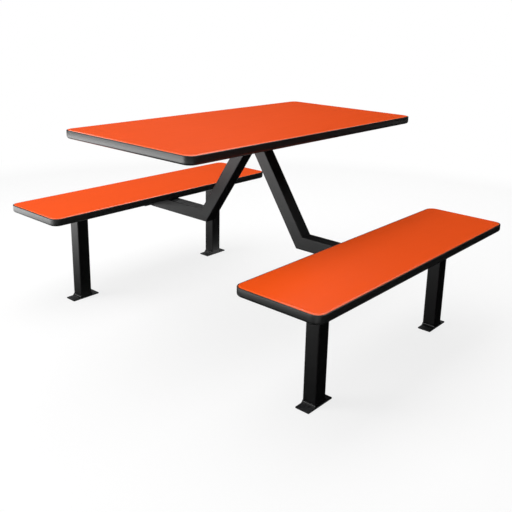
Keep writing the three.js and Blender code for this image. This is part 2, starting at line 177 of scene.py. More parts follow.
class CanteenStudio(bpy.types.PropertyGroup):
    """Camera, lights, floor and cards."""

    camera_place: vector(
        "Camera place", "Where the camera stands", (-1.8784, -1.6696, 1.1338), subtype="TRANSLATION"
    )
    camera_turn: vector(
        "Camera turn", "How the camera is turned",
        (math.radians(74.433), math.radians(-1.517), math.radians(-49.56)), subtype="EULER",
    )
    focal_pixels: number("Focal length", "In pixels of the frame", 687.3)
    middle: vector("Optical middle", "Where the optical axis meets the frame, in pixels", (272.0, 205.0))
    ceiling_strength: number("Ceiling", "Radiance of the ceiling light", 2.7)
    key_strength: number("Key light", "Radiance of the light at the left", 6.2)
    card_strength: number("Bright card", "Radiance of the card on the floor", 7.0)
    strip_strength: number("Strip", "Least radiance of the strips overhead", 2.4)
    ambient: number("Ambient", "Light from all round", 0.25)
    floor: colour("Floor", "Pale floor", (0.95, 0.95, 0.95))
    floor_lift: number("Floor lift", "Share of plain white in the floor", 0.80, subtype="FACTOR")


GROUPS = {
    "canteen_tops": CanteenTops,
    "canteen_steel": CanteenSteel,
    "canteen_fixings": CanteenFixings,
    "canteen_studio": CanteenStudio,
}


# Node trees


class Wire:
    """A node's output. Arithmetic on it adds Math nodes to its tree."""

    def __init__(self, nodes, socket):
        self.nodes = nodes
        self.socket = socket

    def also(self, output):
        """Another output of the same node."""
        return Wire(self.nodes, self.socket.node.outputs[output])

    def math(self, operation, first, second):
        return self.nodes.node("ShaderNodeMath", {"operation": operation}, {0: first, 1: second})

    def __add__(self, other):
        return self.math("ADD", self, other)

    def __radd__(self, other):
        return self.math("ADD", other, self)

    def __sub__(self, other):
        return self.math("SUBTRACT", self, other)

    def __rsub__(self, other):
        return self.math("SUBTRACT", other, self)

    def __mul__(self, other):
        return self.math("MULTIPLY", self, other)

    def __rmul__(self, other):
        return self.math("MULTIPLY", other, self)

    def larger(self, other):
        return self.math("MAXIMUM", self, other)


class Nodes:
    """A node tree and the nodes that fill it."""

    def __init__(self, tree):
        self.tree = tree
        tree.nodes.clear()

    def node(self, kind, settings=None, inputs=None, output=0):
        """Adds a node, sets its settings and then its sockets, and gives the wire from one of its outputs."""
        node = self.tree.nodes.new(kind)
        for key, value in (settings or {}).items():
            setattr(node, key, value)
        for key, value in (inputs or {}).items():
            if isinstance(value, Wire):
                self.tree.links.new(value.socket, node.inputs[key])
            else:
                node.inputs[key].default_value = value
        return Wire(self, node.outputs[output]) if node.outputs else None


class Finish(Nodes):
    """The shader nodes of a material or of the world."""

    def __init__(self, owner):
        owner.use_nodes = True
        super().__init__(owner.node_tree)
        self.owner = owner

    def place(self, stretch=(1.0, 1.0, 1.0)):
        """Object coordinates, stretched along the axes."""
        coordinate = self.node("ShaderNodeTexCoord", output="Object")
        return self.node("ShaderNodeMapping", inputs={"Vector": coordinate, "Scale": stretch})

    def noise(self, place, scale, detail=2.0, roughness=0.5):
        inputs = {"Vector": place, "Scale": scale, "Detail": detail, "Roughness": roughness}
        return self.node("ShaderNodeTexNoise", inputs=inputs, output="Fac")

    def cells(self, place, scale):
        return self.node("ShaderNodeTexVoronoi", inputs={"Vector": place, "Scale": scale}, output="Distance")

    def between(self, value, low, high):
        """0 below low, 1 above high and smooth from one to the other."""
        inputs = {"Value": value, "From Min": low, "From Max": high}
        return self.node("ShaderNodeMapRange", {"interpolation_type": "SMOOTHSTEP"}, inputs)

    def mixed(self, factor, first, second):
        """A colour between two colours, each an (r, g, b) or a wire."""
        first, second = (shade if isinstance(shade, Wire) else (*shade, 1.0) for shade in (first, second))
        return self.node("ShaderNodeMix", {"data_type": "RGBA"}, {0: factor, 6: first, 7: second}, output=2)

    def shades(self, factor, shade, dark, light):
        """A colour between a dark and a light share of one shade."""
        return self.mixed(factor, shaded(shade, dark), shaded(shade, light))

    def bump(self, height, strength, distance):
        inputs = {"Height": height, "Strength": strength, "Distance": distance}
        return self.node("ShaderNodeBump", inputs=inputs)

    def seen(self):
        """1 for rays that show the background: from the camera, a gloss or a glass."""
        camera = self.node("ShaderNodeLightPath", output="Is Camera Ray")
        return camera.larger(camera.also("Is Glossy Ray")).larger(camera.also("Is Transmission Ray"))

    def white(self, strength, kind="ShaderNodeEmission"):
        return self.node(kind, inputs={"Color": WHITE, "Strength": strength})

    def end(self, shader, kind="ShaderNodeOutputMaterial"):
        self.node(kind, inputs={"Surface": shader})

    def end_mixed(self, factor, first, second, kind="ShaderNodeOutputMaterial"):
        self.end(self.node("ShaderNodeMixShader", inputs={0: factor, 1: first, 2: second}), kind)

    def surface(self, base, roughness, normal, fixed=None):
        """Ends a piece's finish in one shader. fixed gives the sockets that are the same all over."""
        inputs = {"Base Color": base, "Roughness": roughness, "Normal": normal, **(fixed or {})}
        self.end(self.node("ShaderNodeBsdfPrincipled", inputs=inputs))


class Growth(Nodes):
    """Geometry nodes with named inputs, which make something of a mesh and give it a finish."""

    def __init__(self, name, inputs):
        super().__init__(bpy.data.node_groups.new(name, "GeometryNodeTree"))
        sockets = self.tree.interface
        given = {"Geometry": "NodeSocketGeometry", **inputs, "Finish": "NodeSocketMaterial"}
        for label, kind in given.items():
            sockets.new_socket(label, in_out="INPUT", socket_type=kind)
        sockets.new_socket("Geometry", in_out="OUTPUT", socket_type="NodeSocketGeometry")
        self.given = self.node("NodeGroupInput", output="Geometry")

    def end(self, inputs):
        """Sets an instance on every point, realises and smooths the lot, and gives it the finish."""
        instances = self.node("GeometryNodeInstanceOnPoints", inputs=inputs)
        real = self.node("GeometryNodeRealizeInstances", inputs={0: instances})
        smooth = self.node("GeometryNodeSetShadeSmooth", inputs={0: real})
        finish = self.given.also("Finish")
        finished = self.node("GeometryNodeSetMaterial", inputs={"Geometry": smooth, "Material": finish})
        self.node("NodeGroupOutput", inputs={0: finished})
        return self.tree


# Finishes


def new_finish(name):
    return Finish(bpy.data.materials.new(name))


def finish_named(name):
    found = bpy.data.materials.get(name)
    if found is None:
        raise RuntimeError(f"the finish {name} isn't made yet")
    return found


def shaded(shade, share):
    return tuple(min(1.0, part * share) for part in shade)


def laminate_finish(tops):
    """High-pressure laminate: fine pebble grain, a slow drift of tone, faint wiping marks and a painted rim
    highlight.
    """
    finish = new_finish("orange_laminate")
    place = finish.place()
    drift = finish.noise(place, 2.6, detail=3.0)
    grain = finish.noise(place, 1100.0, detail=1.0)
    pebble = finish.cells(place, 620.0)
    wiping = finish.noise(finish.place((2.0, 26.0, 1.0)), 3.0, detail=4.0, roughness=0.65)
    fresh = finish.shades(drift * 0.55 + grain * 0.30 + wiping * 0.15, tops.laminate, 0.93, 1.07)
    rim = finish.node("ShaderNodeAttribute", {"attribute_name": "rim"}, output="Fac")
    # Painted highlight: the rims are lightened towards the laminate's seam, in the base colour
    painted_highlight = finish.between(rim, 0.1, 0.6) * (0.25 + finish.noise(place, 9.0, detail=3.0) * 0.3)
    finish.surface(
        base=finish.mixed(painted_highlight, fresh, tops.rim_highlight),
        roughness=0.17 + wiping * 0.06 + grain * 0.03,
        normal=finish.bump(grain * 0.6 + pebble * 0.4, strength=0.06, distance=0.0003),
        fixed={"IOR": 1.45},
    )


def edge_finish(tops):
    """Moulded black edge: satin, with a leathery matt grain and faint drawing lines along it."""
    finish = new_finish("black_edge")
    place = finish.place()
    grain = finish.noise(place, 1500.0)
    drift = finish.noise(place, 6.0)
    lines = finish.noise(finish.place((0.6, 0.6, 60.0)), 14.0)
    finish.surface(
        base=finish.shades(drift * 0.6 + grain * 0.4, tops.edge, 0.75, 1.3),
        roughness=0.27 + lines * 0.08 + grain * 0.05,
        normal=finish.bump(grain * 0.7 + lines * 0.3, strength=0.05, distance=0.0003),
        fixed={"IOR": 1.5},
    )


def board_finish(tops):
    """Chipboard: pressed chips of several browns."""
    finish = new_finish("chip_board")
    place = finish.place((1.0, 1.0, 3.0))
    chips = finish.cells(place, 260.0).also("Color")
    shade = finish.node("ShaderNodeSeparateColor", inputs={0: chips})
    fibres = finish.noise(place, 900.0, detail=3.0)
    finish.surface(
        base=finish.shades(shade * 0.7 + fibres * 0.3, tops.board, 0.6, 1.35),
        roughness=0.75 + fibres * 0.15,
        normal=finish.bump(shade, strength=0.2, distance=0.0006),
    )


def backing_finish(tops):
    """Backing laminate: matt dark grey with a sanded grain."""
    finish = new_finish("grey_backing")
    sanded = finish.noise(finish.place((12.0, 400.0, 40.0)), 4.0, detail=3.0)
    drift = finish.noise(finish.place(), 3.0, detail=3.0)
    finish.surface(
        base=finish.shades(drift * 0.5 + sanded * 0.5, tops.backing, 0.7, 1.35),
        roughness=0.62 + sanded * 0.16,
        normal=finish.bump(sanded, strength=0.08, distance=0.0003),
    )


def plug_finish(tops):
    """Moulded plug: dull black plastic with a spark-eroded grain."""
    finish = new_finish("black_plug")
    grain = finish.noise(finish.place(), 1900.0)
    finish.surface(
        base=finish.shades(grain, tops.edge, 0.6, 1.2),
        roughness=0.52 + grain * 0.14,
        normal=finish.bump(grain, strength=0.12, distance=0.0002),
    )


def coat_finish(steel):
    """Black powder coat: orange peel, drift in the black, paler patches on the foot plates and their welds
    rubbed smooth.
    """
    finish = new_finish(COAT)
    place = finish.place()
    peel = finish.noise(place, 420.0, detail=1.0)
    speck = finish.noise(place, 2400.0, detail=1.0)
    drift = finish.noise(place, 5.0, detail=3.0)
    patch_noise = finish.noise(place, 240.0, detail=3.0, roughness=0.7)
    above_plate = finish.node("ShaderNodeSeparateXYZ", inputs={0: place}, output="Z") - steel.foot_thickness
    feet = 1.0 - finish.between(above_plate, -0.5 * MILLIMETRE, 1.5 * MILLIMETRE)
    # Paler grey patches on the foot plates, set in the base colour and the roughness
    pale_patches = feet * finish.between(patch_noise * 0.6 + drift * 0.4, 0.44, 0.60)
    off_plate = finish.between(above_plate, 0.5 * MILLIMETRE, 3.5 * MILLIMETRE)
    rubbed = off_plate * (1.0 - finish.between(above_plate, 9 * MILLIMETRE, 19 * MILLIMETRE))
    black = finish.shades(drift * 0.6 + speck * 0.4, steel.coat, 0.75, 1.3)
    finish.surface(
        base=finish.mixed(pale_patches * 0.8, black, shaded(steel.coat, 16.0)),
        roughness=0.40 + drift * 0.06 + speck * 0.06 + pale_patches * 0.15 - rubbed * 0.2,
        normal=finish.bump(peel * 0.8 + speck * 0.2, strength=0.10, distance=0.0004),
        fixed={"IOR": 1.48},
    )


def zinc_finish(fixings):
    """Bright zinc plating, a little clouded."""
    finish = new_finish(ZINC)
    place = finish.place()
    cloud = finish.noise(place, 180.0, detail=3.0)
    finish.surface(
        base=finish.shades(cloud, fixings.zinc, 0.8, 1.2),
        roughness=0.24 + cloud * 0.2,
        normal=finish.bump(finish.noise(place, 1800.0), strength=0.05, distance=0.0002),
        fixed={"Metallic": 1.0},
    )


# Meshes


def quarter(steps, corner=0):
    """Angles through a quarter turn, from the X axis or from a later corner."""
    return [(corner + step / steps) * QUARTER_TURN for step in range(steps + 1)]


def rounded_outline(half_u, half_v, radius, steps, support=0.0):
    """Points round a rectangle with round corners, anticlockwise. support adds points beside its corners."""
    points = []
    for corner, (sign_u, sign_v) in enumerate(((1, 1), (-1, 1), (-1, -1), (1, -1))):
        spots = [(turn, 0.0) for turn in quarter(steps, corner)]
        if support:
            spots = [(spots[0][0], -support), *spots, (spots[-1][0], support)]
        for turn, ahead in spots:
            points.append((
                sign_u * (half_u - radius) + radius * math.cos(turn) - ahead * math.sin(turn),
                sign_v * (half_v - radius) + radius * math.sin(turn) + ahead * math.cos(turn),
            ))
    return points


def bridge(build, low, high):
    count = len(low)
    for i in range(count):
        following = (i + 1) % count
        build.faces.new((low[i], low[following], high[following], high[i]))


def lathe(profile, sides):
    """Turns (radius, height) points about Z. The profile starts and ends on the axis."""
    build = bmesh.new()
    rings = []
    for radius, height in profile:
        turns = [2 * math.pi * i / sides for i in range(sides if radius else 1)]
        rings.append([build.verts.new((radius * math.cos(t), radius * math.sin(t), height)) for t in turns])
    for low, high in zip(rings, rings[1:]):
        for i in range(sides):
            following = (i + 1) % sides
            face = [low[i % len(low)], low[following % len(low)]]
            face += [high[following % len(high)], high[i % len(high)]]
            build.faces.new(list(dict.fromkeys(face)))
    return as_mesh(build)


def prism(radius, low, high, sides):
    return lathe([(0, low), (radius, low), (radius, high), (0, high)], sides)


def without_slivers(build):
    """Closes the faces without area that a boolean or a bevel can leave."""
    bmesh.ops.dissolve_degenerate(build, dist=MERGED, edges=build.edges)
    return build


def as_mesh(build, crease=CREASE):
    """A mesh, smooth apart from edges that turn by more than the crease."""
    mesh = bpy.data.meshes.new("mesh")
    build.to_mesh(mesh)
    build.free()
    mesh.shade_smooth()
    mesh.set_sharp_from_angle(angle=math.radians(crease))
    return mesh


def link(name, data):
    thing = bpy.data.objects.new(name, data)
    bpy.context.scene.collection.objects.link(thing)
    return thing


def dress(mesh, finish):
    mesh.materials.clear()
    mesh.materials.append(finish_named(finish))


def piece(name, mesh, finish, nodes):
    """A finished piece in place of its CAD nodes."""
    mesh.name = name
    dress(mesh, finish)
    thing = link(name, mesh)
    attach(thing, BODY)
    if nodes:
        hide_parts(*nodes)


def coated(node, mesh):
    """A piece of the frame in place of its CAD node."""
    piece(f"{node}_coated", mesh, COAT, (node,))


def evaluated_mesh(thing):
    """The mesh that a thing's modifiers give. The thing is removed."""
    graph = bpy.context.evaluated_depsgraph_get()
    mesh = bpy.data.meshes.new_from_object(thing.evaluated_get(graph))
    bpy.data.objects.remove(thing)
    return mesh


def combined(mesh, tool, operation):
    """Boolean of two closed meshes."""
    body = link("boolean_body", mesh)
    cutter = link("boolean_tool", tool)
    modifier = body.modifiers.new("boolean", "BOOLEAN")
    modifier.operation = operation
    modifier.solver = "EXACT"
    modifier.object = cutter
    result = evaluated_mesh(body)
    bpy.data.objects.remove(cutter)
    build = bmesh.new()
    build.from_mesh(result)
    return as_mesh(without_slivers(build))


def eased(build, easing, least_angle=40.0):
    """Rounds the edges that turn by more than an angle, in degrees."""
    sharp = [
        edge for edge in build.edges
        if len(edge.link_faces) == 2 and edge.calc_face_angle() > math.radians(least_angle)
    ]
    bmesh.ops.bevel(
        build, geom=sharp, offset=easing, segments=2, affect="EDGES", profile=0.5, clamp_overlap=True
    )
    return as_mesh(without_slivers(build), EASED_CREASE)


def eased_copy(node, easing):
    """A node's own shape with its edges rounded."""
    build = bmesh.new()
    build.from_mesh(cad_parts[node].data)
    bmesh.ops.remove_doubles(build, verts=build.verts, dist=MERGED)
    bmesh.ops.dissolve_limit(build, angle_limit=math.radians(1), verts=build.verts, edges=build.edges)
    return eased(build, easing)


def middle_of(node):
    low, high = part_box(node)
    return (low + high) / 2


def y_span(node):
    """How near a node comes to the table's middle plane, and how far it reaches from it."""
    low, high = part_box(node)
    return sorted((abs(low.y), abs(high.y)))


# Tops


class TopShape:
    """Sections of one top as (inset, height) points, worked out from the box of its moulding."""

    def __init__(self, tops, kind, suffix):
        low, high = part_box(f"{kind}_edge_moulding{suffix}")
        self.tops = tops
        self.middle = (low + high) / 2
        self.half = (high - low) / 2
        self.under = low.z
        self.upper = high.z
        self.roll_inset = tops.edge_thickness + tops.roll_radius * math.sin(tops.roll_angle)
        self.seam = self.upper - tops.roll_radius * (1 - math.cos(tops.roll_angle))
        self.tongue = (self.under + tops.lower_round + self.upper) / 2

    def roll(self, depth):
        """The rolled rim at a depth below the surface, from its flat outwards."""
        radius = self.tops.roll_radius - depth
        centre = self.upper - self.tops.roll_radius
        turns = [self.tops.roll_angle * step / ROLL_STEPS for step in range(ROLL_STEPS + 1)]
        return [(self.roll_inset - radius * math.sin(t), centre + radius * math.cos(t)) for t in turns]

    def flat(self, depth):
        """A point on the flat beside the rolled rim, which keeps the flat's shading even."""
        return (self.roll_inset + 2 * MILLIMETRE, self.upper - depth)

    def lower_arc(self, radius):
        """Quarter round under the edge, from below outwards."""
        inset = self.tops.lower_round
        centre = self.under + inset
        return [(inset - radius * math.sin(t), centre - radius * math.cos(t)) for t in quarter(LOWER_STEPS)]

    def laminate(self):
        sheet = self.tops.sheet
        return [self.flat(sheet), *self.roll(sheet), *reversed(self.roll(0)), self.flat(0)]

    def board(self):
        tops = self.tops
        gap = tops.clearance
        slot = tops.tongue_thickness / 2 + gap
        side = tops.edge_thickness + gap
        slot_end = tops.edge_thickness + tops.tongue_length + MILLIMETRE
        base = self.under + tops.sheet
        under_laminate = tops.sheet + gap
        return [
            (tops.lower_round + 2 * gap + MILLIMETRE, base),
            (tops.lower_round + gap, base),
            *self.lower_arc(tops.lower_round - side),
            (side, self.tongue - slot),
            (slot_end, self.tongue - slot),
            (slot_end, self.tongue + slot),
            (side, self.tongue + slot),
            *reversed(self.roll(under_laminate)),
            self.flat(under_laminate),
        ]

    def moulding(self):
        tops = self.tops
        inner = tops.edge_thickness
        end = inner + tops.tongue_length
        half = tops.tongue_thickness / 2
        lip = self.seam - tops.clearance
        shoulder = [
            (tops.upper_round * (1 - math.cos(turn)), lip - tops.upper_round * (1 - math.sin(turn)))
            for turn in quarter(SHOULDER_STEPS)
        ]
        return [
            *self.lower_arc(tops.lower_round),
            *shoulder,
            (inner - tops.clearance, lip),
            (inner, lip - tops.clearance),
            (inner, self.tongue + half),
            (end, self.tongue + half),
            (end, self.tongue - half),
            (inner, self.tongue - half),
            *reversed(self.lower_arc(tops.lower_round - inner)),
        ]

    def carried(self, section, capped):
        """Carries a section round the top. A capped section ends in a flat face at both ends."""
        half, middle = self.half, self.middle
        corner, steps = self.tops.corner_radius, self.tops.corner_steps
        build = bmesh.new()
        rings = []
        for inset, height in section:
            outline = rounded_outline(half.x - inset, half.y - inset, corner - inset, steps)
            rings.append([build.verts.new((middle.x + x, middle.y + y, height)) for x, y in outline])
        for low, high in zip(rings, rings[1:]):
            bridge(build, low, high)
        if capped:
            build.faces.new(list(reversed(rings[0])))
            build.faces.new(rings[-1])
        else:
            bridge(build, rings[-1], rings[0])
        return as_mesh(build)

    def mark_rim(self, mesh):
        """Adds a rim attribute that grows from 0 on the flat to 1 at the laminate's seam."""
        drop = self.upper - self.seam
        rim = mesh.attributes.new("rim", "FLOAT", "POINT")
        rim.data.foreach_set("value", [min(1.0, (self.upper - point.co.z) / drop) for point in mesh.vertices])


# Frame


def square_tube(origin, along, across, half, radius, wall, start, end):
    """A hollow tube. start and end are (distance, slope): the end plane lies at distance + slope * across."""
    build = bmesh.new()
    aside = across.cross(along)
    loops = []
    for inset, corner in ((0.0, radius), (wall, max(radius - wall, wall / 2))):
        section = rounded_outline(half - inset, half - inset, corner, TUBE_STEPS, support=0.6 * MILLIMETRE)
        for distance, slope in (start, end):
            places = [origin + aside * u + across * v + along * (distance + slope * v) for u, v in section]
            loops.append([build.verts.new(place) for place in places])
    outer_start, outer_end, inner_start, inner_end = loops
    bridge(build, outer_start, outer_end)
    bridge(build, inner_end, inner_start)
    bridge(build, inner_start, outer_start)
    bridge(build, outer_end, inner_end)
    bmesh.ops.recalc_face_normals(build, faces=build.faces)
    return as_mesh(build)


def straight_tube(node, along, radius, wall):
    """A leg's or a rail's tube, along one axis of its box."""
    low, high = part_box(node)
    reach = along.dot(high - low) / 2
    half = (high.y - low.y) / 2
    return square_tube(middle_of(node), along, ACROSS, half, radius, wall, (-reach, 0), (reach, 0))


class ArmShape:
    """Where a side's cranked arm bends and how steeply it rises."""

    def __init__(self, side):
        self.level = f"arm_level_tube_{side}"
        self.rise = f"arm_diagonal_tube_{side}"
        self.plate = f"arm_end_plate_{side}"
        self.sign = SIGNS[side]
        level_low, level_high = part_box(self.level)
        self.half = (level_high.z - level_low.z) / 2
        tip, self.root = y_span(self.level)
        self.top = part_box(self.rise)[1].z
        self.top_inner = y_span(self.rise)[0]
        self.angle = math.atan2(self.top - level_low.z, tip - self.top_inner)
        self.mitre = math.tan(self.angle / 2)
        self.bend = Vector((0, self.sign * (tip + self.half * self.mitre), level_low.z + self.half))

    def tube(self, steel, angle, start, end):
        """A tube through the bend, towards the table, that rises at an angle."""
        along = Vector((0, -self.sign * math.cos(angle), math.sin(angle)))
        across = Vector((0, self.sign * math.sin(angle), math.cos(angle)))
        return square_tube(self.bend, along, across, self.half, steel.tube_round, steel.wall, start, end)

    def level_mesh(self, steel):
        return self.tube(steel, 0.0, (abs(self.bend.y) - self.root, 0), (0, -self.mitre))

    def rise_mesh(self, steel):
        reach = (self.top - self.bend.z) / math.sin(self.angle)
        return self.tube(steel, self.angle, (0, self.mitre), (reach, -1 / math.tan(self.angle)))


def foot_mesh(foot, leg, steel):
    """A foot plate along X with a concave weld against both end sides of its leg."""
    low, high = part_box(foot)
    leg_low, leg_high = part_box(leg)
    middle = (low.x + high.x) / 2
    reach = (high.x - low.x) / 2
    seat = (leg_high.x - leg_low.x) / 2 + steel.foot_clearance
    thickness = steel.foot_thickness
    fillet = high.z - thickness
    toe = seat + steel.weld_land
    turns = quarter(FOOT_WELD_STEPS)
    weld = [(toe + fillet * (1 - math.sin(turn)), high.z - fillet * math.cos(turn)) for turn in turns]
    half = [(reach, low.z), (reach, thickness), *weld, (seat, high.z), (seat, thickness)]
    profile = half + [(-x, z) for x, z in reversed(half)]
    build = bmesh.new()
    front = [build.verts.new((middle + x, low.y, z)) for x, z in profile]
    back = [build.verts.new((middle + x, high.y, z)) for x, z in profile]
    bridge(build, front, back)
    build.faces.new(front)
    build.faces.new(list(reversed(back)))
    bmesh.ops.recalc_face_normals(build, faces=build.faces)
    return eased(build, steel.foot_easing)


# What repeats


def weld_tree():
    """Ripples of weld, each a flattened ball, along every edge of a mesh."""
    growth = Growth("weld_ripples", {"Pitch": "NodeSocketFloat", "Size": "NodeSocketVector"})
    given = growth.given
    curve = growth.node("GeometryNodeMeshToCurve", inputs={0: given})
    steps = {"Curve": curve, "Length": given.also("Pitch")}
    tangent = growth.node("GeometryNodeInputTangent")
    return growth.end({
        "Points": growth.node("GeometryNodeResampleCurve", {"mode": "LENGTH"}, steps),
        "Instance": growth.node("GeometryNodeMeshIcoSphere", inputs={"Radius": 0.5, "Subdivisions": 2}),
        "Rotation": growth.node("FunctionNodeAlignRotationToVector", {"axis": "X"}, {"Vector": tangent}),
        "Scale": given.also("Size"),
    })


def fixing_tree():
    """One fixing at every point of a mesh, turned by the point's own turn."""
    growth = Growth("set_fixings", {"Fixing": "NodeSocketObject"})
    fixing = {"Object": growth.given.also("Fixing")}
    kind = {"data_type": "FLOAT_VECTOR"}
    return growth.end({
        "Points": growth.given,
        "Instance": growth.node("GeometryNodeObjectInfo", inputs=fixing, output="Geometry"),
        "Rotation": growth.node("GeometryNodeInputNamedAttribute", kind, {"Name": "turn"}, "Attribute"),
    })


def grown(name, mesh, tree, values):
    """The plain mesh that a tree makes of a mesh, with its named inputs set."""
    thing = link(name, mesh)
    modifier = thing.modifiers.new("growth", "NODES")
    modifier.node_group = tree
    for item in tree.interface.items_tree:
        if item.in_out == "INPUT" and item.name in values:
            modifier[item.identifier] = values[item.name]
    return evaluated_mesh(thing)


def lines_mesh(lines):
    """A mesh of loose edges, one for each (start, end)."""
    mesh = bpy.data.meshes.new("weld_lines")
    points = [point for line in lines for point in line]
    mesh.from_pydata(points, [(2 * i, 2 * i + 1) for i in range(len(lines))], [])
    return mesh


def points_mesh(places):
    """A mesh of loose points from (place, turn) pairs."""
    mesh = bpy.data.meshes.new("fixing_points")
    mesh.from_pydata([place for place, _ in places], [], [])
    turns = mesh.attributes.new("turn", "FLOAT_VECTOR", "POINT")
    turns.data.foreach_set("vector", [part for _, turn in places for part in turn])
    return mesh


# Where the frame is welded, as (start, end) pairs. A bead's middle stands out of its joint's corner.


def along_x(low, high, y, z):
    return (low, y, z), (high, y, z)


def carrier_welds(steel, out):
    """Along the table rail, on the apex plate and under the cross bars."""
    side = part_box("table_rail")[1].y
    just_outside = 1.01 * side
    low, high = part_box("apex_plate")
    for y in (-just_outside, just_outside):
        yield along_x(low.x, high.x, y, high.z + out)
    contact = side - BAR_CONTACT * steel.tube_round
    for end in ENDS:
        low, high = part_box(f"table_cross_bar_{end}")
        for y in (-contact, contact):
            yield along_x(low.x, high.x, y, low.z - out)


def arm_welds(side, out):
    """Round the top of an arm, beside its end plate and in the corner under the plate."""
    shape = ArmShape(side)
    half, sign, inner = shape.half, shape.sign, shape.top_inner
    outer = inner + 2 * half / math.sin(shape.angle)
    height = shape.top - out / 2
    for x in (-half - out, half + out):
        yield (x, sign * (inner + TOP_STOP), height), (x, sign * (outer - TOP_STOP), height)
    yield along_x(END_STOP - half, half - END_STOP, sign * (outer + out), height)
    low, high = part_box(shape.plate)
    face = y_span(shape.plate)[0]
    for x in (-half - out / 2, half + out / 2):
        y = sign * (face - out / 2)
        yield (x, y, low.z + out), (x, y, high.z - 2 * out)
    yield along_x(UNDER_STOP - half, half - UNDER_STOP, sign * (face + out), low.z - 1.6 * out)


def bench_welds(steel, side, out):
    """Round the ends of a bench rail and along it under the seat straps."""
    corner = steel.rail_round
    low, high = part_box(f"bench_rail_{side}")
    for x in (low.x + out / 2, high.x - out / 2):
        for y in (low.y - out / 2, high.y + out / 2):
            yield (x, y, low.z + corner), (x, y, high.z - corner)
        under = low.z - out / 2
        yield (x, low.y + corner, under), (x, high.y - corner, under)
    for end in ENDS:
        strap_low, strap_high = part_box(f"seat_strap_{side}_{end}")
        for y in (low.y + BAR_CONTACT * corner, high.y - BAR_CONTACT * corner):
            yield along_x(strap_low.x, strap_high.x, y, strap_low.z - out)


def weld_lines(steel):
    out = BEAD_STAND * steel.bead_width
    lines = list(carrier_welds(steel, out))
    for side in SIDES:
        lines += [*arm_welds(side, out), *bench_welds(steel, side, out)]
    return lines


# Fixings, made along Z with their bearing face at z = 0


def screw_mesh(fixings, drop, reach):
    """A pan-head screw with a cross recess, its head's top at -drop and its point at reach."""
    head, shank = fixings.screw_head / 2, fixings.screw_shank / 2
    root = 0.78 * shank
    rim = -0.2 * drop
    pitch = fixings.screw_pitch
    point = reach - 3 * pitch
    dome = [(head * math.sin(turn), -drop * math.cos(turn)) for turn in quarter(DOME_STEPS)[1:-1]]
    thread = []
    height = pitch
    while height < point:
        thread += [(shank, height), (root, height + pitch / 2)]
        height += pitch
    profile = [(0, -drop), *dome, (head, rim), (head, 0), (shank, 0), *thread, (0, reach)]
    mesh = lathe(profile, ROUND_SIDES)
    for turn in (0, QUARTER_TURN):
        slot = bmesh.new()
        bmesh.ops.create_cube(slot, size=1.0)
        size = (fixings.recess_span, fixings.recess_slot, 2 * fixings.recess_depth)
        bmesh.ops.scale(slot, vec=size, verts=slot.verts)
        bmesh.ops.rotate(slot, matrix=Matrix.Rotation(turn, 3, "Z"), verts=slot.verts)
        bmesh.ops.translate(slot, vec=(0, 0, -drop), verts=slot.verts)
        mesh = combined(mesh, as_mesh(slot), "DIFFERENCE")
    return mesh


def hexagon_mesh(across, height):
    """A hexagonal prism with its corners turned off at the top."""
    flat = across / 2
    radius = flat / math.cos(math.pi / HEX_SIDES)
    shoulder = height - 0.6 * (radius - flat)
    land = 0.97 * flat
    turned = [(0, 0), (radius, 0), (radius, shoulder), (land, height), (0, height)]
    return combined(prism(radius, 0, height, HEX_SIDES), lathe(turned, TURNED_SIDES), "INTERSECT")


def threaded_rod(fixings, low, high):
    """A rod with its thread as ridges."""
    pitch = fixings.thread_pitch
    crest = fixings.thread / 2
    root = crest - 0.6 * pitch
    profile = [(0, low), (root, low)]
    height = low
    while height + pitch < high:
        profile += [(crest, height + pitch / 2), (root, height + pitch)]
        height += pitch
    return lathe([*profile, (0, height)], ROUND_SIDES)


def bolt_mesh(fixings, head, reach):
    """A hexagon bolt with its head below and its thread up to its reach."""
    hexagon = hexagon_mesh(fixings.hexagon, head)
    hexagon.transform(Matrix.Rotation(math.pi, 4, "X"))
    build = bmesh.new()
    build.from_mesh(hexagon)
    build.from_mesh(threaded_rod(fixings, -head / 2, reach))
    return as_mesh(build)


def nut_mesh(fixings, height):
    bore = prism(fixings.thread / 2, -height, 2 * height, ROUND_SIDES)
    return combined(hexagon_mesh(fixings.hexagon, height), bore, "DIFFERENCE")


def set_all(name, pattern, nodes, axis, level, step, tree):
    """One piece with a pattern at each node, at a level along an axis and turned a step further each time."""
    places = []
    for index, node in enumerate(nodes):
        place, turn = middle_of(node), Vector()
        place[axis] = level
        turn[axis] = step * index
        places.append((place, turn))
    original = link(f"{name}_pattern", pattern)
    mesh = grown(name, points_mesh(places), tree, {"Fixing": original, "Finish": finish_named(ZINC)})
    bpy.data.objects.remove(original)
    mesh.set_sharp_from_angle(angle=math.radians(FIXING_CREASE))
    piece(f"{name}_plated", mesh, ZINC, nodes)


def set_screws(fixings, name, screws, bar, tree):
    """Sets screws of one kind, whose heads bear on the underside of the given bar and of those like it."""
    low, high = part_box(screws[0])
    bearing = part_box(bar)[0].z
    pattern = screw_mesh(fixings, bearing - low.z, high.z - bearing)
    set_all(name, pattern, screws, Z, bearing, fixings.screw_turn, tree)


def set_bolts(fixings, side, tree):
    """Sets a side's bolts through its end plate and bench rail, and their nuts behind the rail."""
    sign = SIGNS[side]
    bolts = [f"arm_bolt_{side}_{end}" for end in ENDS]
    nuts = [f"arm_nut_{side}_{end}" for end in ENDS]
    face = y_span(f"arm_end_plate_{side}")[0]
    back = y_span(f"bench_rail_{side}")[1]
    tip, tail = y_span(bolts[0])
    nut_inner, nut_outer = y_span(nuts[0])
    bolt = bolt_mesh(fixings, face - tip, tail - face)
    nut = nut_mesh(fixings, nut_outer - nut_inner)
    for name, pattern, nodes, y in (("arm_bolts", bolt, bolts, face), ("arm_nuts", nut, nuts, back)):
        pattern.transform(Matrix.Rotation(-sign * QUARTER_TURN, 4, "X"))
        set_all(f"{name}_{side}", pattern, nodes, Y, sign * y, fixings.bolt_turn, tree)


# Studio


